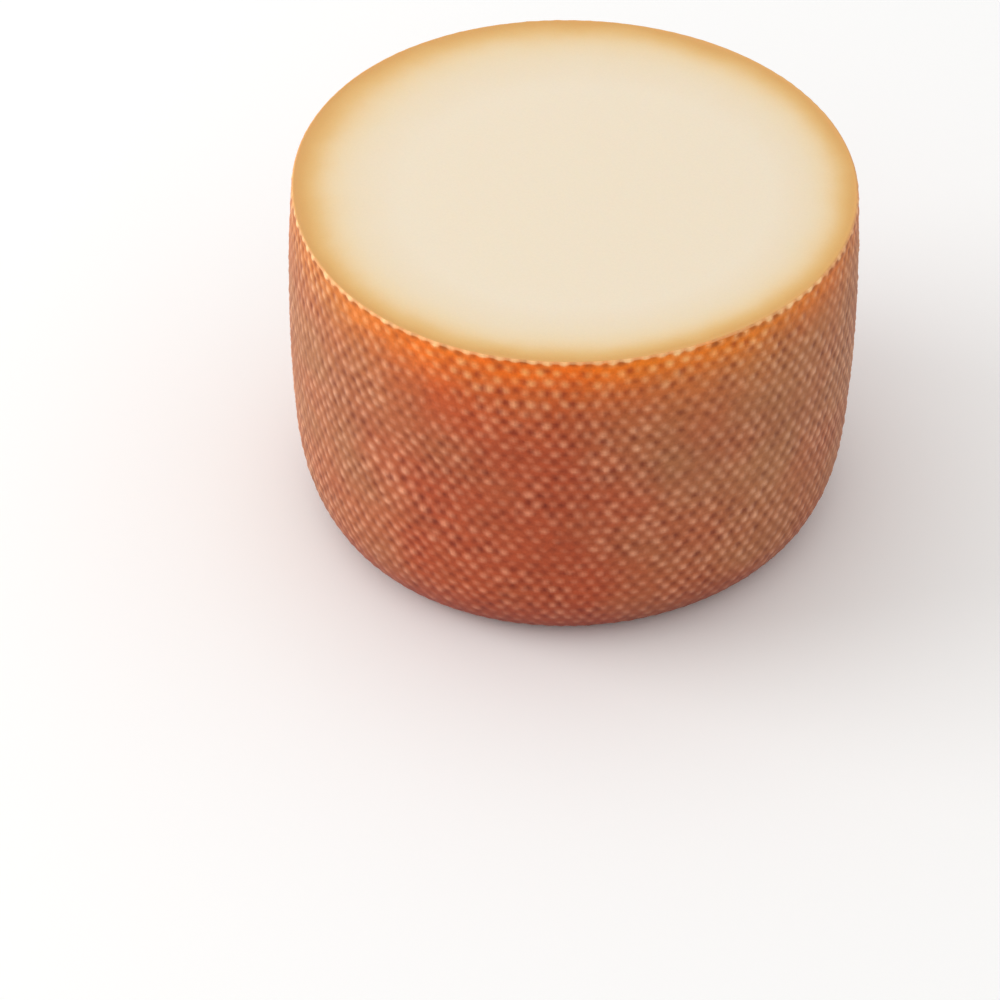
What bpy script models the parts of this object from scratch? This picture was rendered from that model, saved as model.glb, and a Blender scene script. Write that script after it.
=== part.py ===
"""A drum of washed-rind monastery cheese with its lid cut off, standing on its base.

Run it in Blender 4.5 with: blender --background --python part.py

Metres, +Z up. The origin is the centre of the flat base, and -Y is the front. The rind
carries the imprint of the cloth that lined the mould: staggered rows of low round pips.
The drum is one solid, and its flat top is the cut face.
"""

import math

import bmesh
import bpy
import numpy as np

# Driving dimensions of the turned form
CUT_RADIUS = 0.0570
DRUM_HEIGHT = 0.0736
BELLY_RADIUS = 0.0584
BELLY_HEIGHT = 0.0403

# The rounded edge between the wall and the base, a quarter of a superellipse
BASE_EDGE_RISE = 0.0223
BASE_EDGE_SETBACK = 0.0100
BASE_EDGE_POWER = 2.86

# A drum pressed by hand isn't quite round: lobes in plan, their swell and their direction
PLAN_LOBES = (
    (2, 0.00044, math.radians(83.5)),
    (3, 0.00037, math.radians(4.6)),
    (4, 0.00019, math.radians(-37.4)),
)

# The cloth's imprint. On the real rind the pips are 3.06 mm apart, in rows 2.27 mm apart.
# One solid has faces enough for pips of that shape on a pitch about a quarter wider.
PIPS_AROUND = 92
ROW_TO_PIP_PITCH = 2.27 / 3.06
PIP_RELIEF = 0.00042
IMPRINT_FADE_RUN = 0.0120

OUTLINE_SAMPLES = 200
AXIS_MERGE_DISTANCE = 0.00005
RIM_CREASE = math.radians(40)
VALLEY_CREASE = math.radians(10)

RIND_COLOUR = (0.435, 0.139, 0.056, 1.0)
PASTE_COLOUR = (0.871, 0.745, 0.552, 1.0)
RIND_ROUGHNESS = 0.5
PASTE_ROUGHNESS = 0.6


class Wall:
    """The rind from the cut rim down to the flat base: its outline, and the imprint on it."""

    def __init__(self):
        self.outline = self._fine_outline()
        steps = np.linalg.norm(np.diff(self.outline, axis=0), axis=1)
        self.runs = np.concatenate([[0], np.cumsum(steps)])
        self.run_to_base = self.runs[-1]
        wanted_pitch = 2 * math.pi * CUT_RADIUS / PIPS_AROUND * ROW_TO_PIP_PITCH
        self.row_count = round(self.run_to_base / wanted_pitch)

    @staticmethod
    def _belly_radius(height):
        """Radius of the barrel at a height, as if its base edge were square."""
        curve = (BELLY_RADIUS - CUT_RADIUS) / (DRUM_HEIGHT - BELLY_HEIGHT) ** 2
        return BELLY_RADIUS - curve * (height - BELLY_HEIGHT) ** 2

    def _fine_outline(self):
        """Close (radius, height) points down the wall and round the base edge."""
        points = []
        for height in np.linspace(DRUM_HEIGHT, BASE_EDGE_RISE, OUTLINE_SAMPLES):
            points.append((self._belly_radius(height), height))
        for turn in np.linspace(0, math.pi / 2, OUTLINE_SAMPLES)[1:]:
            down = math.sin(turn) ** (2 / BASE_EDGE_POWER)
            inward = 1 - abs(math.cos(turn)) ** (2 / BASE_EDGE_POWER)
            height = BASE_EDGE_RISE * (1 - down)
            points.append((self._belly_radius(height) - BASE_EDGE_SETBACK * inward, height))
        return np.array(points)

    def rows(self):
        """(radius, height) at each row of the imprint, evenly spaced along the wall."""
        row_runs = np.linspace(0, self.run_to_base, self.row_count + 1)
        radii = np.interp(row_runs, self.runs, self.outline[:, 0])
        heights = np.interp(row_runs, self.runs, self.outline[:, 1])
        return list(zip(radii, heights))

    def imprint(self, angle, height):
        """Relief at a place on the wall: pips and hollows take turns along each row."""
        run = np.interp(height, self.outline[::-1, 1], self.runs[::-1])
        across = math.cos(PIPS_AROUND * angle)
        along = math.cos(math.pi * self.row_count * run / self.run_to_base)
        fade = min(1, (self.run_to_base - run) / IMPRINT_FADE_RUN)
        return PIP_RELIEF / 2 * across * along * fade


def clear_scene():
    """Remove every object that the file opened with."""
    for obj in list(bpy.data.objects):
        bpy.data.objects.remove(obj)


def plan_swell(angle):
    """How far the uneven plan stands out from a true circle at an angle."""
    return sum(
        swell * math.cos(lobes * (angle - direction))
        for lobes, swell, direction in PLAN_LOBES
    )


def turned_mesh(outline, steps):
    """Mesh turned about Z from (radius, height) points that start and end on the axis."""
    profile = bpy.data.meshes.new("profile")
    points = [(radius, 0, height) for radius, height in outline]
    edges = [(index, index + 1) for index in range(len(points) - 1)]
    profile.from_pydata(points, edges, [])
    guide = bpy.data.objects.new("profile", profile)
    bpy.context.scene.collection.objects.link(guide)

    screw = guide.modifiers.new("turn", "SCREW")
    screw.axis = "Z"
    screw.steps = steps
    screw.render_steps = steps
    screw.use_merge_vertices = True
    screw.merge_threshold = AXIS_MERGE_DISTANCE

    graph = bpy.context.evaluated_depsgraph_get()
    mesh = bpy.data.meshes.new_from_object(guide.evaluated_get(graph))
    bpy.data.objects.remove(guide)
    return mesh


def press_in_mould(cheese, wall):
    """Give the turned wall its uneven plan and its imprint, keeping every height."""
    for vertex in cheese.verts:
        radius = math.hypot(vertex.co.x, vertex.co.y)
        if radius < BASE_EDGE_SETBACK:
            continue
        angle = math.atan2(vertex.co.y, vertex.co.x)
        pressed = radius + plan_swell(angle) + wall.imprint(angle, vertex.co.z)
        vertex.co.x *= pressed / radius
        vertex.co.y *= pressed / radius


def crease_hollows(cheese, wall):
    """Split each quad of the wall from hollow to hollow, so that a pip is a low pyramid."""

    def relief(corners):
        places = [corner.co for corner in corners]
        return sum(wall.imprint(math.atan2(co.y, co.x), co.z) for co in places)

    for face in [face for face in cheese.faces if len(face.verts) == 4]:
        first, second, third, fourth = face.verts
        hollows = min((first, third), (second, fourth), key=relief)
        bmesh.utils.face_split(face, *hollows)


def shade_round(cheese):
    """Shade it smooth, with a crease at the rim and in the valleys between the pips."""
    for face in cheese.faces:
        face.smooth = True
    for edge in cheese.edges:
        edge.smooth = -VALLEY_CREASE < edge.calc_face_angle_signed(0) < RIM_CREASE


def principled(name, colour, roughness):
    """A material with one Principled BSDF."""
    material = bpy.data.materials.new(name)
    material.use_nodes = True
    shader = material.node_tree.nodes["Principled BSDF"]
    shader.inputs["Base Color"].default_value = colour
    shader.inputs["Roughness"].default_value = roughness
    shader.inputs["Metallic"].default_value = 0
    return material


def build_drum(collection):
    """The cheese: turned, pressed, and its cut face given the colour of the paste."""
    wall = Wall()
    outline = [(0, DRUM_HEIGHT), *wall.rows(), (0, 0)]
    mesh = turned_mesh(outline, 2 * PIPS_AROUND)

    cheese = bmesh.new()
    cheese.from_mesh(mesh)
    press_in_mould(cheese, wall)
    crease_hollows(cheese, wall)
    shade_round(cheese)
    cheese.to_mesh(mesh)
    cheese.free()

    mesh.materials.append(principled("washed_rind", RIND_COLOUR, RIND_ROUGHNESS))
    mesh.materials.append(principled("cut_paste", PASTE_COLOUR, PASTE_ROUGHNESS))
    for polygon in mesh.polygons:
        on_cut_face = min(mesh.vertices[i].co.z for i in polygon.vertices)
        polygon.material_index = int(on_cut_face > DRUM_HEIGHT - AXIS_MERGE_DISTANCE)

    drum = bpy.data.objects.new("cheese_drum", mesh)
    collection.objects.link(drum)
    return drum


def main():
    """Build the cheese in a collection of its own."""
    clear_scene()
    collection = bpy.data.collections.new("monastery_cheese")
    bpy.context.scene.collection.children.link(collection)
    build_drum(collection)


main()
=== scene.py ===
"""Looks of a drum of washed-rind monastery cheese with its lid cut off.

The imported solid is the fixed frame. One dense piece stands for it: the drum with every pip
of the mould cloth's imprint as real relief, a rind and a cut face. Metres, +Z up, the
origin at the centre of the base, and -Y to the front.
"""

import logging
import math
from dataclasses import dataclass, field
from enum import Enum, IntEnum

import bpy
import numpy as np
from mathutils import Matrix, Vector


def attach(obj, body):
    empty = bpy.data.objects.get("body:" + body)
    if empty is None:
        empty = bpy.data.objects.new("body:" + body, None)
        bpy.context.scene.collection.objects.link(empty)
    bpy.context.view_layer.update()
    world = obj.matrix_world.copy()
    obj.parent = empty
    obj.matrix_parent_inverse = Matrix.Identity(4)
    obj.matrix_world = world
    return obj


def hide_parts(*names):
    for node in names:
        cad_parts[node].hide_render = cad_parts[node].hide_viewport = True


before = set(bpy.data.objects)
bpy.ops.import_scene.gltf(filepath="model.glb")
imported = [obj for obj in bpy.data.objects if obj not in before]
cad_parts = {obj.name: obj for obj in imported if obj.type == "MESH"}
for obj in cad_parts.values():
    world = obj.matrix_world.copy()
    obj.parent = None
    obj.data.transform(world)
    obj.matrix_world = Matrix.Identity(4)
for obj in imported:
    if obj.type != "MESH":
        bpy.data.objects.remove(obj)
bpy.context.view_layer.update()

LOG = logging.getLogger("cheese")
MILLIMETRE = 0.001

# A noise node gives 0 to 1, but hardly leaves this span
NOISE_SPAN = (0.25, 0.75)


class Skin(IntEnum):
    """The two surfaces of the drum, numbered as its material slots."""

    RIND = 0
    PASTE = 1


class Draw(IntEnum):
    """The random draws of the cloth's print, each with a seed of its own."""

    WANDER_ALONG = 1
    WANDER_ACROSS = 2
    CLEARNESS = 3
    PIPS = 11
    PITS = 12


class Blend(Enum):
    """How a second colour is laid over a first."""

    MIX = "MIX"
    MULTIPLY = "MULTIPLY"


class Maths(Enum):
    """What a node calculates from its values."""

    ADD = "ADD"
    MULTIPLY = "MULTIPLY"
    MULTIPLY_ADD = "MULTIPLY_ADD"
    DIVIDE = "DIVIDE"
    EXPONENT = "EXPONENT"


class MixSocket(IntEnum):
    """Numbers of the sockets that a mix node has for colours."""

    SHARE = 0
    RESULT = 2
    FIRST = 6
    SECOND = 7


def linear(colour: str) -> tuple[float, float, float, float]:
    """Turn an sRGB hex colour into the linear colour that shaders use.

    Args:
        colour: The colour as "#RRGGBB".

    Returns:
        Linear red, green and blue, and an alpha of 1.
    """
    channels = [int(colour[start : start + 2], 16) / 255 for start in (1, 3, 5)]
    red, green, blue = (
        value / 12.92 if value <= 0.04045 else ((value + 0.055) / 1.055) ** 2.4
        for value in channels
    )
    return red, green, blue, 1.0


def add_node(
    tree: bpy.types.NodeTree,
    kind: str,
    settings: dict | None = None,
    stops: tuple[tuple[float, str], ...] = (),
) -> bpy.types.Node:
    """Add a node to a material with its settings and links.

    Args:
        tree: The material's node tree.
        kind: The node's type.
        settings: Values by the name of a property, or values and the sockets that feed them
            by the name or number of an input.
        stops: Places and hex colours, where the node holds a colour ramp.

    Returns:
        The new node.
    """
    node = tree.nodes.new(kind)
    for name, value in (settings or {}).items():
        if isinstance(value, bpy.types.NodeSocket):
            tree.links.new(value, node.inputs[name])
        elif isinstance(name, int) or name in node.inputs:
            node.inputs[name].default_value = value
        else:
            setattr(node, name, value)
    if stops:
        ramp = node.color_ramp
        ramp.interpolation = "B_SPLINE"
        while len(ramp.elements) < len(stops):
            ramp.elements.new(1.0)
        for element, (place, colour) in zip(ramp.elements, stops):
            element.position = place
            element.color = linear(colour)
    return node


def calculate(
    tree: bpy.types.NodeTree,
    operation: Maths,
    *values: bpy.types.NodeSocket | float,
    clamp: bool = False,
) -> bpy.types.NodeSocket:
    """Calculate one value from others.

    Args:
        tree: The material's node tree.
        operation: What to do with the values.
        values: Numbers, or the sockets that give them.
        clamp: Whether the result is held between 0 and 1.

    Returns:
        The result.
    """
    settings = {"operation": operation.value, "use_clamp": clamp, **dict(enumerate(values))}
    return add_node(tree, "ShaderNodeMath", settings).outputs[0]


def map_span(
    tree: bpy.types.NodeTree,
    value: bpy.types.NodeSocket,
    span: tuple[float, float] = (0.0, 1.0),
    result: tuple[float, float] = (0.0, 1.0),
    smooth: bool = False,
) -> bpy.types.NodeSocket:
    """Carry one span of values over to another, and hold what lies outside at its ends.

    Args:
        tree: The material's node tree.
        value: The value to carry over.
        span: The span that it comes from.
        result: What the two ends of that span become.
        smooth: Whether it eases in and out.

    Returns:
        The new value.
    """
    settings = {
        "interpolation_type": "SMOOTHSTEP" if smooth else "LINEAR",
        "Value": value,
        "From Min": span[0],
        "From Max": span[1],
        "To Min": result[0],
        "To Max": result[1],
    }
    return add_node(tree, "ShaderNodeMapRange", settings).outputs["Result"]


def mix_colours(
    tree: bpy.types.NodeTree,
    share: bpy.types.NodeSocket,
    first: bpy.types.NodeSocket | str,
    second: bpy.types.NodeSocket | str,
    blend: Blend = Blend.MIX,
) -> bpy.types.NodeSocket:
    """Lay a second colour over a first.

    Args:
        tree: The material's node tree.
        share: How strongly the second colour is laid on, from 0 to 1.
        first: The first colour, in hex or from a socket.
        second: The second colour, in hex or from a socket.
        blend: How it is laid on.

    Returns:
        The mixed colour.
    """
    first, second = (
        linear(colour) if isinstance(colour, str) else colour for colour in (first, second)
    )
    settings = {
        "data_type": "RGBA",
        "blend_type": blend.value,
        MixSocket.SHARE: share,
        MixSocket.FIRST: first,
        MixSocket.SECOND: second,
    }
    return add_node(tree, "ShaderNodeMix", settings).outputs[MixSocket.RESULT]


def scale_colour(
    tree: bpy.types.NodeTree, colour: bpy.types.NodeSocket, factor: bpy.types.NodeSocket
) -> bpy.types.NodeSocket:
    """Make a colour lighter or darker.

    Args:
        tree: The material's node tree.
        colour: The colour.
        factor: What it is multiplied by.

    Returns:
        The new colour.
    """
    settings = {"operation": "SCALE", 0: colour, "Scale": factor}
    return add_node(tree, "ShaderNodeVectorMath", settings).outputs["Vector"]


@dataclass(frozen=True)
class Noise:
    """Cloudy noise: how wide its patches are, and the finer detail that they carry."""

    width: float
    detail: float
    roughness: float = 0.5

    def add(self, tree: bpy.types.NodeTree, point: bpy.types.NodeSocket) -> bpy.types.Node:
        """Add the noise to a material.

        Args:
            tree: The material's node tree.
            point: The place on the object, in metres.

        Returns:
            The noise node.
        """
        settings = {
            "Scale": 1 / self.width,
            "Detail": self.detail,
            "Roughness": self.roughness,
            "Vector": point,
        }
        return add_node(tree, "ShaderNodeTexNoise", settings)


@dataclass(frozen=True)
class RindPlaces:
    """Sockets that say where a place on the rind lies, from which its colour is mixed."""

    tree: bpy.types.NodeTree
    point: bpy.types.NodeSocket
    pip: bpy.types.NodeSocket
    pit: bpy.types.NodeSocket
    from_rim: bpy.types.NodeSocket
    fresh: bpy.types.NodeSocket
    tan: bpy.types.NodeSocket
    fray: bpy.types.NodeSocket
    shade: bpy.types.NodeSocket


@dataclass(frozen=True)
class WashedRind:
    """Rind of a smear-ripened cheese: a damp, waxy skin rubbed with brine and pressed in cloth.

    The smear gathers in the hollows and dries there to brick brown. The pips are paler, partly
    worn so by handling and partly a painted highlight, and shinier. Just under the cut the band
    is orange, partly fresh rind and partly a painted glow of light through the thin rind.
    """

    hollow_brick: str = "#B04D2B"
    hollow_tan: str = "#AB6D45"
    # Orange band under the cut: partly fresh rind, partly a painted glow of light through the thin
    # rind
    fresh_glow_hollow_brick: str = "#F87010"
    fresh_glow_hollow_tan: str = "#F08418"
    # Pale crowns of the pips: partly wear, partly painted highlight
    worn_highlight_crown_brick: str = "#DF8D69"
    worn_highlight_crown_tan: str = "#D99E79"
    # Crowns in the orange band: pale from wear, painted highlight and painted glow
    fresh_glow_highlight_crown_brick: str = "#FFAE60"
    fresh_glow_highlight_crown_tan: str = "#FFB468"
    # Multiplied into the pits: partly dried smear, partly painted shade in the recesses
    pit_smear_and_shade: str = "#BEA098"
    # Painted shade in the notches that the pits cut into the edge
    notch_shade_brown: str = "#A85C20"
    # Painted highlight on the lip of the cut edge
    lip_highlight_peach: str = "#FFCB8E"
    # Painted shade at the foot of the wall
    foot_shade_brown: str = "#7E4540"

    # The span of a pip's strength over which hollow turns to pale crown, which is partly wear and
    # partly painted highlight
    crown_edges: tuple[float, float] = (0.10, 1.00)

    # The orange band under the cut, partly fresh rind and partly a painted glow of light through
    # the thin rind: how far down it is whole, how fast it dies away below that, and how far its
    # lower edge frays up and down
    fresh_glow_reach: float = 0.0025
    fresh_glow_fade: float = 0.0058
    fresh_glow_fray: float = 0.0060

    # How far up the painted shade at the foot reaches, and how strongly it darkens
    foot_rise: float = 0.0150
    foot_share: float = 0.6

    # The cut edge: a thin pale lip and longer pale teeth where pips are cut through, both painted
    # highlight, and dark notches at the pits, painted shade
    bead_edges: tuple[float, float] = (0.12, 0.70)
    lip_reach: float = 0.00040
    tooth_reach: float = 0.00055
    lip_fall: tuple[float, float] = (0.45, 1.1)
    lip_between_teeth: float = 0.46
    notch_span: tuple[float, float] = (0.0010, 0.0024)
    notch_share: float = 0.85

    # The smear dries in patches of about 11 mm, some thicker and some thinner
    mottle: Noise = Noise(width=0.0110, detail=4.0, roughness=0.55)
    tan_mottle: float = 0.7
    shade_mottle: float = 0.08

    # Real yeast and brine grain a rind at about 0.1 mm, which is too fine to show. The
    # grain is drawn coarser, at 0.7 mm
    grain: Noise = Noise(width=0.0007, detail=3.0, roughness=0.65)
    grain_height: float = 0.00009
    grain_strength: float = 0.5
    speckle: float = 0.13

    # Damp wax: a soft sheen on the worn pips, and dull hollows
    pip_roughness: float = 0.40
    hollow_roughness: float = 0.58
    ior: float = 1.38
    specular_level: float = 0.3

    def _places(self, tree: bpy.types.NodeTree) -> RindPlaces:
        """Read the mesh's attributes and lay the slow mottling of the smear.

        Args:
            tree: The material's node tree.

        Returns:
            The sockets that the colours are mixed from.
        """
        point = add_node(tree, "ShaderNodeTexCoord").outputs["Object"]
        read = {
            name: add_node(tree, "ShaderNodeAttribute", {"attribute_name": name}).outputs["Fac"]
            for name in ("pip", "pit", "from_rim", "fresh", "tan")
        }
        mottle = self.mottle.add(tree, point).outputs["Color"]
        three = add_node(tree, "ShaderNodeSeparateColor", {"Color": mottle}).outputs
        blotch = calculate(
            tree, Maths.MULTIPLY_ADD, three["Red"], self.tan_mottle, -self.tan_mottle / 2
        )
        read["tan"] = calculate(tree, Maths.ADD, read["tan"], blotch, clamp=True)
        return RindPlaces(tree, point, fray=three["Green"], shade=three["Blue"], **read)

    def _band(self, at: RindPlaces) -> bpy.types.NodeSocket:
        """Lay out the orange band under the cut, fresh rind and painted glow, fading over a frayed
        edge.

        Args:
            at: Where the place lies.

        Returns:
            0 on old rind and up to 1 in the band.
        """
        start = (self.fresh_glow_reach - self.fresh_glow_fray / 2) / self.fresh_glow_fade
        fray = self.fresh_glow_fray / self.fresh_glow_fade
        past = calculate(at.tree, Maths.MULTIPLY_ADD, at.from_rim, -1 / self.fresh_glow_fade, start)
        frayed = calculate(at.tree, Maths.MULTIPLY_ADD, at.fray, fray, past)
        fall = calculate(at.tree, Maths.EXPONENT, frayed, clamp=True)
        return calculate(at.tree, Maths.MULTIPLY, fall, at.fresh)

    def _printed(self, at: RindPlaces) -> bpy.types.NodeSocket:
        """Mix old rind and the orange band for hollows and pale crowns, and darken the pits with
        dried smear and painted shade.

        Args:
            at: Where the place lies.

        Returns:
            The colour.
        """
        band = self._band(at)
        layers = []
        for colours in (
            (self.hollow_brick, self.hollow_tan, self.fresh_glow_hollow_brick, self.fresh_glow_hollow_tan),
            (self.worn_highlight_crown_brick, self.worn_highlight_crown_tan, self.fresh_glow_highlight_crown_brick, self.fresh_glow_highlight_crown_tan),
        ):
            old = mix_colours(at.tree, at.tan, *colours[:2])
            # The band's colour: partly fresh rind, partly painted glow
            fresh = mix_colours(at.tree, at.tan, *colours[2:])
            layers.append(mix_colours(at.tree, band, old, fresh))
        # Pale crowns: partly wear, partly painted highlight
        crown = map_span(at.tree, at.pip, self.crown_edges)
        printed = mix_colours(at.tree, crown, *layers)
        # Pits darkened by dried smear and by painted shade
        return mix_colours(at.tree, at.pit, printed, self.pit_smear_and_shade, Blend.MULTIPLY)

    def _footed(self, at: RindPlaces, printed: bpy.types.NodeSocket) -> bpy.types.NodeSocket:
        """Paint shade on the foot, darker towards the base.

        Args:
            at: Where the place lies.
            printed: The colour of the wall.

        Returns:
            The colour.
        """
        height = add_node(at.tree, "ShaderNodeSeparateXYZ", {"Vector": at.point}).outputs["Z"]
        low = map_span(
            at.tree, height, (0.0, self.foot_rise), (self.foot_share, 0.0), smooth=True
        )
        # Painted shade at the foot
        return mix_colours(at.tree, low, printed, self.foot_shade_brown)

    def _notched(self, at: RindPlaces, footed: bpy.types.NodeSocket) -> bpy.types.NodeSocket:
        """Paint shade into the pits just under the cut, where they notch its edge.

        Args:
            at: Where the place lies.
            footed: The colour of the wall.

        Returns:
            The colour.
        """
        under_edge = map_span(at.tree, at.from_rim, self.notch_span, (self.notch_share, 0.0))
        notch = calculate(at.tree, Maths.MULTIPLY, under_edge, at.pit)
        # Painted shade in the notches
        return mix_colours(at.tree, notch, footed, self.notch_shade_brown)

    def _lipped(self, at: RindPlaces, notched: bpy.types.NodeSocket) -> bpy.types.NodeSocket:
        """Paint a highlight on the lip of the cut: peach teeth where pips are cut through, a line
        between.

        Args:
            at: Where the place lies.
            notched: The colour of the wall.

        Returns:
            The colour.
        """
        gap = self.lip_between_teeth
        tooth = map_span(at.tree, at.pip, self.bead_edges)
        reach = calculate(at.tree, Maths.MULTIPLY_ADD, tooth, self.tooth_reach, self.lip_reach)
        share_of_reach = calculate(at.tree, Maths.DIVIDE, at.from_rim, reach)
        fall = map_span(at.tree, share_of_reach, self.lip_fall, (1.0, 0.0))
        strength = calculate(at.tree, Maths.MULTIPLY_ADD, tooth, 1 - gap, gap)
        lip = calculate(at.tree, Maths.MULTIPLY, fall, strength)
        # Painted highlight on the lip
        return mix_colours(at.tree, lip, notched, self.lip_highlight_peach)

    def material(self) -> bpy.types.Material:
        """Build the rind's material.

        Returns:
            The material, which reads the mesh's attributes.
        """
        material = bpy.data.materials.new("washed_rind_pressed_in_cloth")
        material.use_nodes = True
        tree = material.node_tree
        shader = tree.nodes["Principled BSDF"]
        at = self._places(tree)
        footed = self._footed(at, self._printed(at))
        colour = self._lipped(at, self._notched(at, footed))

        grain = self.grain.add(tree, at.point).outputs["Fac"]
        speckle, shade = (
            map_span(tree, source, NOISE_SPAN, (1 - depth, 1 + depth))
            for source, depth in ((grain, self.speckle), (at.shade, self.shade_mottle))
        )
        uneven = scale_colour(tree, colour, calculate(tree, Maths.MULTIPLY, speckle, shade))
        roughness = map_span(tree, at.pip, result=(self.hollow_roughness, self.pip_roughness))
        skin = add_node(
            tree,
            "ShaderNodeBump",
            {"Strength": self.grain_strength, "Distance": self.grain_height, "Height": grain},
        ).outputs["Normal"]
        tree.links.new(uneven, shader.inputs["Base Color"])
        tree.links.new(roughness, shader.inputs["Roughness"])
        tree.links.new(skin, shader.inputs["Normal"])
        shader.inputs["IOR"].default_value = self.ior
        shader.inputs["Specular IOR Level"].default_value = self.specular_level
        return material


@dataclass(frozen=True)
class CutPaste:
    """Semi-hard paste cut with a wire: smooth, matt and slightly see-through ivory.

    Towards the rind it has dried and taken up brine, which turns it golden.
    """

    ring: tuple[tuple[float, str], ...] = (
        # The first stop, a little paler than the next, is a painted highlight on the crest of the
        # rounded cut edge
        (0.00, "#DEA662"),
        (0.05, "#D8A35A"),
        (0.12, "#E1B16B"),
        (0.20, "#E5BD7E"),
        (0.30, "#EBCD9D"),
        (0.40, "#ECD4AC"),
        (0.55, "#ECD9B9"),
        (0.80, "#EDDCC1"),
        (1.00, "#EEDFC6"),
    )

    # How far in the golden ring reaches, and how far slow noise lets it waver
    ring_reach: float = 0.0200
    ring_waver: float = 0.0016
    waver: Noise = Noise(width=0.0140, detail=3.0)

    # Pressed curd shows a grain of 0.1 to 0.3 mm. It is drawn coarser, at 0.5 mm, because
    # the real one is too fine to show
    grain: Noise = Noise(width=0.0005, detail=2.0, roughness=0.6)
    grain_height: float = 0.00005
    grain_strength: float = 0.3
    speckle: float = 0.015

    # Matt from the wire, with light that goes about 2 mm in, the red of it furthest
    roughness: float = 0.55
    ior: float = 1.44
    glow: float = 0.15
    glow_depth: float = 0.0020
    glow_spread: tuple[float, float, float] = (1.0, 0.6, 0.3)

    def material(self) -> bpy.types.Material:
        """Build the paste's material.

        Returns:
            The material, which reads the mesh's "from_rim" attribute.
        """
        material = bpy.data.materials.new("ivory_paste_cut_smooth")
        material.use_nodes = True
        tree = material.node_tree
        shader = tree.nodes["Principled BSDF"]
        point = add_node(tree, "ShaderNodeTexCoord").outputs["Object"]
        read = add_node(tree, "ShaderNodeAttribute", {"attribute_name": "from_rim"})
        waver = self.waver.add(tree, point).outputs["Fac"]
        shift = calculate(tree, Maths.MULTIPLY_ADD, waver, 2 * self.ring_waver, -self.ring_waver)
        wavering = calculate(tree, Maths.ADD, read.outputs["Fac"], shift)
        along_ring = map_span(tree, wavering, (0.0, self.ring_reach))
        ring = add_node(tree, "ShaderNodeValToRGB", {"Fac": along_ring}, self.ring)

        grain = self.grain.add(tree, point).outputs["Fac"]
        curd = map_span(tree, grain, NOISE_SPAN, (1 - self.speckle, 1 + self.speckle))
        paste = scale_colour(tree, ring.outputs["Color"], curd)
        texture = add_node(
            tree,
            "ShaderNodeBump",
            {"Strength": self.grain_strength, "Distance": self.grain_height, "Height": grain},
        ).outputs["Normal"]
        tree.links.new(paste, shader.inputs["Base Color"])
        tree.links.new(texture, shader.inputs["Normal"])
        shader.inputs["Roughness"].default_value = self.roughness
        shader.inputs["IOR"].default_value = self.ior
        shader.inputs["Subsurface Weight"].default_value = self.glow
        shader.inputs["Subsurface Radius"].default_value = self.glow_spread
        shader.inputs["Subsurface Scale"].default_value = self.glow_depth
        return material


@dataclass(frozen=True)
class PaleCard:
    """Matt white card under the cheese, plain and pale."""

    colour: str = "#FBFBFA"
    roughness: float = 0.9
    specular_level: float = 0.2

    def material(self) -> bpy.types.Material:
        """Build the card's material.

        Returns:
            The material.
        """
        material = bpy.data.materials.new("pale_card")
        material.use_nodes = True
        tree = material.node_tree
        shader = tree.nodes["Principled BSDF"]
        shader.inputs["Base Color"].default_value = linear(self.colour)
        shader.inputs["Roughness"].default_value = self.roughness
        shader.inputs["Specular IOR Level"].default_value = self.specular_level
        return material


@dataclass
class DrumForm:
    """The turned form of the drum, as the solid has it."""

    cut_radius: float = 0.0570
    height: float = 0.0736
    belly_radius: float = 0.0584
    belly_height: float = 0.0403

    # The rounded edge between the wall and the base, a quarter of a superellipse
    base_edge_rise: float = 0.0223
    base_edge_setback: float = 0.0100
    base_edge_power: float = 2.86

    # Lobes of the uneven plan: how many, their swell, and their direction
    lobes: tuple[tuple[int, float, float], ...] = (
        (2, 0.00044, math.radians(83.5)),
        (3, 0.00037, math.radians(4.6)),
        (4, 0.00019, math.radians(-37.4)),
    )

    def wall_radius(self, height: np.ndarray) -> np.ndarray:
        """Radius of the barrel at a height, as if its base edge were square.

        Args:
            height: Heights over the base.

        Returns:
            A radius for each height.
        """
        curve = (self.belly_radius - self.cut_radius) / (self.height - self.belly_height) ** 2
        return self.belly_radius - curve * (height - self.belly_height) ** 2

    def wall(self, samples: int = 600) -> np.ndarray:
        """Trace the wall from the cut rim, round the base edge, to the flat base.

        Args:
            samples: Points on the wall, and again on the base edge.

        Returns:
            Rows of radius, height and distance run from the rim.
        """
        straight = np.linspace(self.height, self.base_edge_rise, samples)
        turn = np.linspace(0, math.pi / 2, samples)[1:]
        power = 2 / self.base_edge_power
        rounded = self.base_edge_rise * (1 - np.sin(turn) ** power)
        inward = self.base_edge_setback * (1 - np.abs(np.cos(turn)) ** power)
        heights = np.concatenate([straight, rounded])
        radii = self.wall_radius(heights)
        radii[samples:] -= inward
        steps = np.hypot(np.diff(radii), np.diff(heights))
        runs = np.concatenate([[0], np.cumsum(steps)])
        return np.column_stack([radii, heights, runs])

    def swell(self, angle: np.ndarray) -> np.ndarray:
        """How far the hand-pressed plan stands out from a true circle.

        Args:
            angle: Directions in plan.

        Returns:
            The swell at each direction.
        """
        return sum(
            rise * np.cos(count * (angle - direction)) for count, rise, direction in self.lobes
        )


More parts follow.
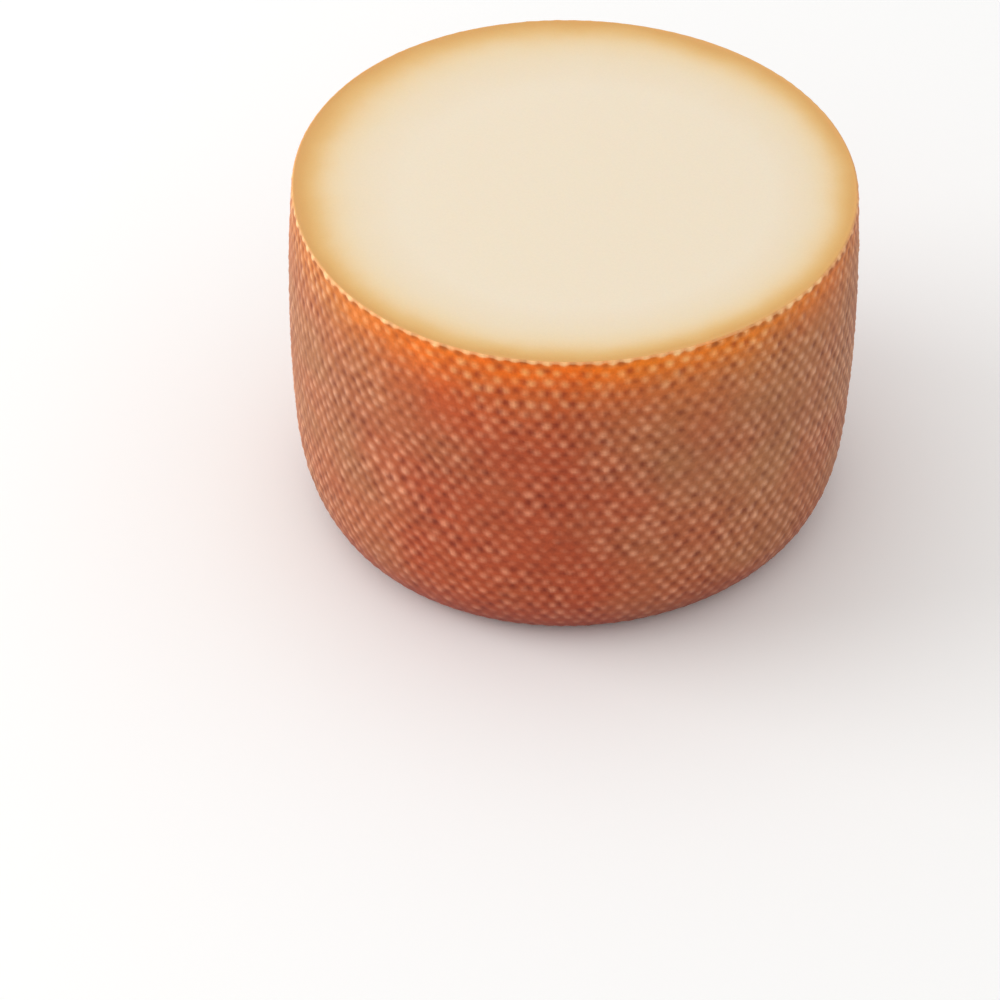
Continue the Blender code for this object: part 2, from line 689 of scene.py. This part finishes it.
def slow_waves(
    angle: np.ndarray,
    run: np.ndarray,
    seed: int,
    count: int = 9,
    tightest: int = 13,
    shortest: float = 0.020,
) -> np.ndarray:
    """Add up smooth waves that close round the drum, as slow noise of about -1 to 1.

    Args:
        angle: Directions in plan.
        run: Distances from the rim.
        seed: Which noise to give.
        count: How many waves are added up.
        tightest: The most waves that fit round the drum.
        shortest: The shortest wave down the wall.

    Returns:
        The noise at each place.
    """
    draw = np.random.default_rng(seed)
    total = np.zeros(np.broadcast(angle, run).shape)
    for _ in range(count):
        around = int(draw.integers(1, tightest + 1))
        down = draw.uniform(-1, 1) * 2 * math.pi / shortest
        total += np.cos(around * angle + down * run + draw.uniform(0, 2 * math.pi))
    return total / math.sqrt(count)


@dataclass(frozen=True)
class Smear:
    """What the washing left on the rind: brick red where it is thick, tan where it is thin."""

    # How thin the smear is, how much that changes in patches, and how much less it is at the
    # foot, from 24 mm down
    thinness: float = 0.97
    unevenness: float = 0.11
    thicker_at_foot: float = 0.35
    foot_starts: float = 0.024

    # Where the smear is thick: direction, spread and strength
    thick_places: tuple[tuple[float, float, float], ...] = (
        (math.radians(258), math.radians(30), 0.95),
        (math.radians(78), math.radians(38), 0.80),
    )

    # Where the orange band under the cut is strongest, partly fresh rind and partly painted glow,
    # and its least and most
    fresh_glow_towards: float = math.radians(275)
    fresh_glow_span: tuple[float, float] = (0.40, 1.0)
    seed: int = 31

    def tan(self, angle: np.ndarray, run: np.ndarray, run_to_base: float) -> np.ndarray:
        """How thin the smear is at each place, which leaves the rind tan.

        Args:
            angle: Directions in plan.
            run: Distances from the rim.
            run_to_base: The distance from the rim to the flat base.

        Returns:
            0 where the rind is brick red, and 1 where it is tan.
        """
        thin = self.thinness + self.unevenness * slow_waves(angle, run, self.seed)
        for direction, spread, strength in self.thick_places:
            aside = (angle - direction + math.pi) % (2 * math.pi) - math.pi
            thin = thin - strength * np.exp(-((aside / spread) ** 2))
        down = np.clip((run - self.foot_starts) / (run_to_base - self.foot_starts), 0, 1)
        return np.clip(thin - self.thicker_at_foot * down, 0, 1)

    def fresh(self, angle: np.ndarray) -> np.ndarray:
        """How strong the orange band under the cut is all round the drum, fresh rind and painted
        glow.

        Args:
            angle: Directions in plan.

        Returns:
            A strength for each direction.
        """
        least, most = self.fresh_glow_span
        swing = (most - least) / 2
        return (most + least) / 2 + swing * np.cos(2 * (angle - self.fresh_glow_towards))


@dataclass(frozen=True)
class Spots:
    """One kind of spot in the cloth's print, on a staggered lattice.

    Each spot's own strength is drawn between the weakest and the strongest, and no place
    counts as more than the most. The shift is in pips, along the row.
    """

    draw: Draw
    width: float
    weakest: float
    strongest: float
    most: float
    shift: float = 0.0


@dataclass
class ClothImprint:
    """The print of the mould's cloth: staggered rows of low round pips, with pits between."""

    # The weave. More rows are drawn than the wall has, so that none comes twice
    pips_around: int = 117
    rows_drawn: int = 64
    row_pitch: float = 0.00227
    first_row: float = 0.00050
    weave_wander: float = 0.00035

    # How far a pip stands up and a pit goes in, and the share of a pip outside the solid
    relief: float = 0.00027
    pit_depth: float = 0.00014
    crown_out: float = 0.25

    # How far a spot strays from its place, how it slants, and how long and broad it is
    stray: float = 0.00020
    slant: float = 0.45
    lengths: tuple[float, float] = (1.0, 1.25)
    breadths: tuple[float, float] = (0.85, 1.05)

    # How clearly the cloth printed, how much that changes in patches, and its least and most
    clearness: float = 0.85
    patchiness: float = 0.17
    clear_span: tuple[float, float] = (0.50, 1.05)
    fade_run: float = 0.0140
    seed: int = 700
    pip: Spots = Spots(Draw.PIPS, width=0.00082, weakest=0.42, strongest=1.16, most=1.2)
    pit: Spots = Spots(Draw.PITS, width=0.00080, weakest=0.35, strongest=1.20, most=1.0, shift=0.5)

    def field(
        self, spots: Spots, angle: np.ndarray, run: np.ndarray, mean_radius: float
    ) -> np.ndarray:
        """Strength of one kind of spot at each place on the wall.

        Args:
            spots: The kind of spot.
            angle: Directions in plan.
            run: Distances from the rim.
            mean_radius: The radius at which a spot's width is true.

        Returns:
            0 away from the spots, and about 1 in the middle of a strong one.
        """
        draw = np.random.default_rng(self.seed + spots.draw)
        pitch = 2 * math.pi * mean_radius / self.pips_around
        cells = (self.rows_drawn, self.pips_around)
        strength = draw.uniform(spots.weakest, spots.strongest, cells)
        aside = draw.normal(0, self.stray, cells)
        down = draw.normal(0, self.stray, cells)
        slant = draw.normal(0, self.slant, cells)
        long = spots.width * draw.uniform(*self.lengths, cells)
        short = spots.width * draw.uniform(*self.breadths, cells)

        wander_along, wander_across = (
            self.weave_wander / step * slow_waves(angle, run, self.seed + wander)
            for step, wander in ((pitch, Draw.WANDER_ALONG), (self.row_pitch, Draw.WANDER_ACROSS))
        )
        along = angle * self.pips_around / (2 * math.pi) + spots.shift + wander_along
        across = (run - self.first_row) / self.row_pitch + wander_across
        total = np.zeros(np.broadcast(angle, run).shape)
        for row_step in (-1, 0, 1, 2):
            row = np.floor(across).astype(int) + row_step
            offset = row % 2 / 2
            nearest = np.rint(along - offset).astype(int)
            for column_step in (-1, 0, 1):
                column = nearest + column_step
                cell = (row % self.rows_drawn, column % self.pips_around)
                beside = (along - offset - column) * pitch - aside[cell]
                below = (across - row) * self.row_pitch - down[cell]
                lengthwise = beside * np.cos(slant[cell]) + below * np.sin(slant[cell])
                crosswise = below * np.cos(slant[cell]) - beside * np.sin(slant[cell])
                spread = (lengthwise / long[cell]) ** 2 + (crosswise / short[cell]) ** 2
                total += strength[cell] * np.exp(-spread)
        return total

    def fade(self, angle: np.ndarray, run: np.ndarray, run_to_base: float) -> np.ndarray:
        """How clearly the cloth has printed: less in patches, and none on the base.

        Args:
            angle: Directions in plan.
            run: Distances from the rim.
            run_to_base: The distance from the rim to the flat base.

        Returns:
            0 for no print, and 1 for a full one.
        """
        waves = slow_waves(angle, run, self.seed + Draw.CLEARNESS)
        patches = np.clip(self.clearness + self.patchiness * waves, *self.clear_span)
        return patches * np.clip((run_to_base - run) / self.fade_run, 0, 1)


@dataclass(frozen=True)
class Ring:
    """One ring of the mesh, before the plan's swell and the cloth's print are added.

    Out and up are the two parts of the wall's normal, and printed is the share of the print.
    """

    radius: float
    height: float
    from_rim: float
    skin_below: Skin
    out: float = 1.0
    up: float = 0.0
    printed: float = 1.0


@dataclass
class CheeseDrum:
    """The whole drum: one closed mesh of a finely printed rind and a flat cut face."""

    form: DrumForm = field(default_factory=DrumForm)
    imprint: ClothImprint = field(default_factory=ClothImprint)
    smear: Smear = field(default_factory=Smear)
    rind: WashedRind = field(default_factory=WashedRind)
    paste: CutPaste = field(default_factory=CutPaste)
    columns_per_pip: int = 5

    # The rounded cut edge. Its rings are told by their height, with a little room for error
    edge_round: float = 0.00045
    edge_steps: int = 4
    edge_room: float = 1.01
    lip_height: float = 0.00008
    lip_width: float = 0.0007

    # The print's share at the cut edge, and how far from it the print is whole
    edge_print: float = 0.45
    edge_print_reach: float = 0.0020

    # The golden ring is wider on one side of the cut face than on the other
    gold_swing: float = 0.24
    gold_narrow_towards: float = math.radians(300)

    # Rings of the mesh: millimetres in from the rim, steps at distances down the wall, and
    # shares of the base's radius
    face_insets: tuple[float, ...] = (40, 22, 9, 4, 2.4, 1.6, 1.0, 0.6)
    ring_places: tuple[float, ...] = (0.0, 0.0012, 0.0024, 0.074, 0.080)
    ring_steps: tuple[float, ...] = (0.00018, 0.00020, 0.00057, 0.00057, 0.00100)
    base_shares: tuple[float, ...] = (0.9, 0.5)

    @property
    def corner_saving(self) -> float:
        """How much shorter the way to the edge's crest is than to a sharp corner."""
        return self.edge_round * (1 - math.pi / 4)

    @property
    def columns(self) -> int:
        """Columns of the mesh all round the drum."""
        return self.imprint.pips_around * self.columns_per_pip

    def _cut_face_rings(self) -> list[Ring]:
        """Ring the flat cut face, from its middle outwards.

        Returns:
            The rings, whose outermost ones follow the scallops of the edge.
        """
        rings = []
        for inset in self.face_insets:
            distance = inset * MILLIMETRE
            printed = self.edge_print * max(0.0, 1 - distance / self.edge_print_reach)
            radius = self.form.cut_radius - distance
            from_crest = distance - self.corner_saving
            rings.append(Ring(radius, self.form.height, from_crest, Skin.PASTE, printed=printed))
        return rings

    def _edge_rings(self) -> list[Ring]:
        """Round the cut edge with a quarter circle, whose crest counts as the rim.

        The first strip is paste, and the strips up to the crest are all lip.

        Returns:
            The rings, from the cut face to the wall.
        """
        rings = []
        for step in range(self.edge_steps + 1):
            turn = math.pi / 2 * step / self.edge_steps
            radius = self.form.cut_radius - self.edge_round * (1 - math.sin(turn))
            height = self.form.height - self.edge_round * (1 - math.cos(turn))
            past_crest = self.edge_round * max(0.0, turn - math.pi / 4)
            skin = Skin.PASTE if step == 0 else Skin.RIND
            rings.append(Ring(radius, height, past_crest, skin, printed=self.edge_print))
        return rings

    def _wall_rings(self) -> list[Ring]:
        """Ring the wall down to the flat base, closest together just under the rim.

        Returns:
            The rings, each with the outward normal of the smooth wall.
        """
        radii, heights, runs = self.form.wall().T
        run_to_base = runs[-1]
        rings = []
        run = self.edge_round
        while run < run_to_base:
            run += float(np.interp(run, self.ring_places, self.ring_steps))
            run = run_to_base if run_to_base - run < self.ring_steps[-1] / 2 else run
            near = np.array([run - self.edge_round, min(run + self.edge_round, run_to_base)])
            inner, outer = np.interp(near, runs, radii)
            high, low = np.interp(near, runs, heights)
            length = math.hypot(outer - inner, high - low)
            edge_share = np.interp(run, (0, self.edge_print_reach), (self.edge_print, 1))
            rings.append(
                Ring(
                    radius=float(np.interp(run, runs, radii)),
                    height=float(np.interp(run, runs, heights)),
                    from_rim=run - self.corner_saving,
                    skin_below=Skin.RIND,
                    out=(high - low) / length,
                    up=(outer - inner) / length,
                    printed=float(edge_share),
                )
            )
        return rings

    def _base_rings(self, edge: Ring) -> list[Ring]:
        """Ring the flat base inwards.

        Args:
            edge: The lowest ring of the wall.

        Returns:
            The rings, without the cloth's print.
        """
        return [
            Ring(
                radius=edge.radius * share,
                height=0.0,
                from_rim=edge.from_rim + edge.radius * (1 - share),
                skin_below=Skin.RIND,
                printed=0.0,
            )
            for share in self.base_shares
        ]

    def _vertices(self, rings: list[Ring]) -> tuple[np.ndarray, dict[str, np.ndarray]]:
        """Place every vertex, ring by ring, with the two poles last.

        Args:
            rings: The rings, from the middle of the cut face to the middle of the base.

        Returns:
            Coordinates, and the mesh's attributes by name.
        """
        angle = np.linspace(0, 2 * math.pi, self.columns, endpoint=False)[None, :]
        radius, height, from_rim, out, up, printed = (
            np.array([[getattr(ring, name)] for ring in rings])
            for name in ("radius", "height", "from_rim", "out", "up", "printed")
        )
        run_to_base = self.form.wall()[-1, 2]
        top = height > self.form.height - self.edge_room * self.edge_round
        run = np.where(top, 0, from_rim)
        clear = self.imprint.fade(angle, run, run_to_base)
        pip, pit = (
            clear * self.imprint.field(spots, angle, run, self.form.cut_radius)
            for spots in (self.imprint.pip, self.imprint.pit)
        )
        sunk = (1 - self.imprint.crown_out) * clear
        rise = printed * (self.imprint.relief * (pip - sunk) - self.imprint.pit_depth * pit)
        swell = self.form.swell(angle) * radius / self.form.cut_radius
        distance = radius + np.where(radius < self.form.cut_radius, swell, self.form.swell(angle))
        distance = distance + rise * out
        lip = self.lip_height * np.exp(-((from_rim / self.lip_width) ** 2)) * top
        level = np.maximum(height + rise * up + lip, 0)
        gold = 1 + self.gold_swing * np.cos(angle - self.gold_narrow_towards)
        on_face = height >= self.form.height
        from_gold = np.where(on_face, from_rim * gold, from_rim)
        grid = np.stack(
            [
                distance * np.cos(angle),
                distance * np.sin(angle),
                np.broadcast_to(level, distance.shape),
            ],
            axis=-1,
        )
        poles = [[0, 0, self.form.height], [0, 0, 0]]
        points = np.concatenate([grid.reshape(-1, 3), poles])

        # Each attribute on the rings, at the top pole and at the base pole
        places = {
            "pip": (np.clip(pip, 0, self.imprint.pip.most), 0, 0),
            "pit": (np.clip(pit, 0, self.imprint.pit.most), 0, 0),
            "from_rim": (from_gold, self.form.cut_radius, run_to_base),
            # Strength of the orange band: partly fresh rind, partly painted glow
            "fresh": (self.smear.fresh(angle), 0, 0),
            "tan": (self.smear.tan(angle, run, run_to_base), 1, 1),
        }
        attributes = {
            name: np.append(np.broadcast_to(values, distance.shape), [top_pole, base_pole])
            for name, (values, top_pole, base_pole) in places.items()
        }
        return points, attributes

    def _faces(self, rings: int) -> list[tuple[int, ...]]:
        """Join the rings by strips of quads, and close both ends by fans.

        Args:
            rings: The number of rings.

        Returns:
            The vertices of each face, facing out: the top fan, the strips, the bottom fan.
        """
        columns = self.columns
        top, bottom = rings * columns, rings * columns + 1
        pairs = [(column, (column + 1) % columns) for column in range(columns)]
        faces: list[tuple[int, ...]] = [(top, here, there) for here, there in pairs]
        for ring in range(rings - 1):
            over, under = ring * columns, (ring + 1) * columns
            faces += [
                (over + here, under + here, under + there, over + there) for here, there in pairs
            ]
        last = (rings - 1) * columns
        faces += [(bottom, last + there, last + here) for here, there in pairs]
        return faces

    def build(self) -> bpy.types.Object:
        """Make the drum and dress it.

        Returns:
            The piece, riding on the root body in place of the plain solid.
        """
        wall = self._wall_rings()
        rings = self._cut_face_rings() + self._edge_rings() + wall + self._base_rings(wall[-1])
        points, attributes = self._vertices(rings)
        mesh = bpy.data.meshes.new("cheese")
        mesh.from_pydata(points.tolist(), [], self._faces(len(rings)))
        skins = np.array([Skin.PASTE] + [ring.skin_below for ring in rings], dtype=np.int32)
        mesh.polygons.foreach_set("material_index", np.repeat(skins, self.columns))
        for name, values in attributes.items():
            attribute = mesh.attributes.new(name, "FLOAT", "POINT")
            attribute.data.foreach_set("value", values.astype(np.float32))
        mesh.shade_smooth()
        mesh.update()
        mesh.materials.append(self.rind.material())
        mesh.materials.append(self.paste.material())
        cheese = bpy.data.objects.new("cheese", mesh)
        bpy.context.scene.collection.objects.link(cheese)
        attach(cheese, "root")
        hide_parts("cheese_drum")
        return cheese


@dataclass
class Softbox:
    """One soft studio light: a glowing panel aimed at the cheese."""

    name: str
    place: tuple[float, float, float]
    size: float
    power: float
    aim: tuple[float, float, float] = (0.0, 0.0, 0.04)

    def build(self) -> bpy.types.Object:
        """Hang the light.

        Returns:
            The light.
        """
        panel = bpy.data.lights.new(self.name, "AREA")
        panel.shape = "DISK"
        panel.size = self.size
        panel.energy = self.power
        light = bpy.data.objects.new(self.name, panel)
        light.location = self.place
        light.rotation_mode = "QUATERNION"
        light.rotation_quaternion = (Vector(self.aim) - light.location).to_track_quat("-Z", "Y")
        bpy.context.scene.collection.objects.link(light)
        return light


@dataclass
class StudioCamera:
    """The camera, placed so that the cut face's centre falls where the picture has it.

    The centre's place is in pixels across and down a frame of the given width.
    """

    lens: float = 135.0
    sensor: float = 36.0
    pitch_down: float = math.radians(41.23)
    roll: float = math.radians(0.25)
    depth: float = 0.7456
    frame_width: float = 1000.0
    centre_across: float = 573.0
    centre_down: float = 181.2

    def build(self, target: Vector) -> bpy.types.Object:
        """Set the camera up and make it the scene's own.

        Args:
            target: The point that falls on the chosen place in the picture.

        Returns:
            The camera.
        """
        data = bpy.data.cameras.new("camera")
        data.lens = self.lens
        data.sensor_width = self.sensor
        camera = bpy.data.objects.new("camera", data)
        bpy.context.scene.collection.objects.link(camera)
        tilt = Matrix.Rotation(math.pi / 2 - self.pitch_down, 3, "X")
        turn = tilt @ Matrix.Rotation(self.roll, 3, "Z")
        focal = self.lens / self.sensor * self.frame_width
        seen = Vector(
            (
                (self.centre_across - self.frame_width / 2) / focal,
                (self.frame_width / 2 - self.centre_down) / focal,
                -1.0,
            )
        )
        place = target - turn @ (seen * self.depth)
        camera.matrix_world = Matrix.Translation(place) @ turn.to_4x4()
        bpy.context.scene.camera = camera
        return camera


@dataclass
class Studio:
    """Plain pale floor, soft light all round and two softboxes."""

    # The floor lies a hair under the base, so that the two don't share a plane
    floor_half: float = 3.0
    floor_gap: float = 0.0001
    card: PaleCard = field(default_factory=PaleCard)
    surround: str = "#FFFFFF"
    surround_strength: float = 0.78
    softboxes: tuple[Softbox, ...] = (
        Softbox("top_softbox", place=(-0.25, 0.25, 1.3), size=1.2, power=2.1),
        Softbox("left_softbox", place=(-1.2, 0.05, 0.45), size=1.0, power=8.5),
    )

    def build(self) -> bpy.types.Object:
        """Lay the floor, light the scene and set how its colours are shown.

        Returns:
            The floor.
        """
        world = bpy.data.worlds.new("studio")
        world.use_nodes = True
        background = world.node_tree.nodes["Background"]
        background.inputs["Color"].default_value = linear(self.surround)
        background.inputs["Strength"].default_value = self.surround_strength
        bpy.context.scene.world = world
        bpy.context.scene.view_settings.view_transform = "Standard"
        half = self.floor_half
        sheet = bpy.data.meshes.new("floor")
        corners = [(-half, -half), (half, -half), (half, half), (-half, half)]
        sheet.from_pydata([(x, y, -self.floor_gap) for x, y in corners], [], [(0, 1, 2, 3)])
        sheet.materials.append(self.card.material())
        floor = bpy.data.objects.new("floor", sheet)
        bpy.context.scene.collection.objects.link(floor)
        for softbox in self.softboxes:
            softbox.build()
        return floor


def main() -> None:
    """Build the cheese, the studio and the camera, and report each one."""
    logging.basicConfig(level=logging.INFO, format="%(name)s: %(message)s")
    drum = CheeseDrum()
    cheese = drum.build()
    LOG.info("%s has %d faces", cheese.name, len(cheese.data.polygons))
    floor = Studio().build()
    LOG.info("%s is laid", floor.name)
    camera = StudioCamera().build(Vector((0, 0, drum.form.height)))
    LOG.info("%s stands at %s", camera.name, tuple(round(value, 4) for value in camera.location))


if __name__ == "__main__":
    main()
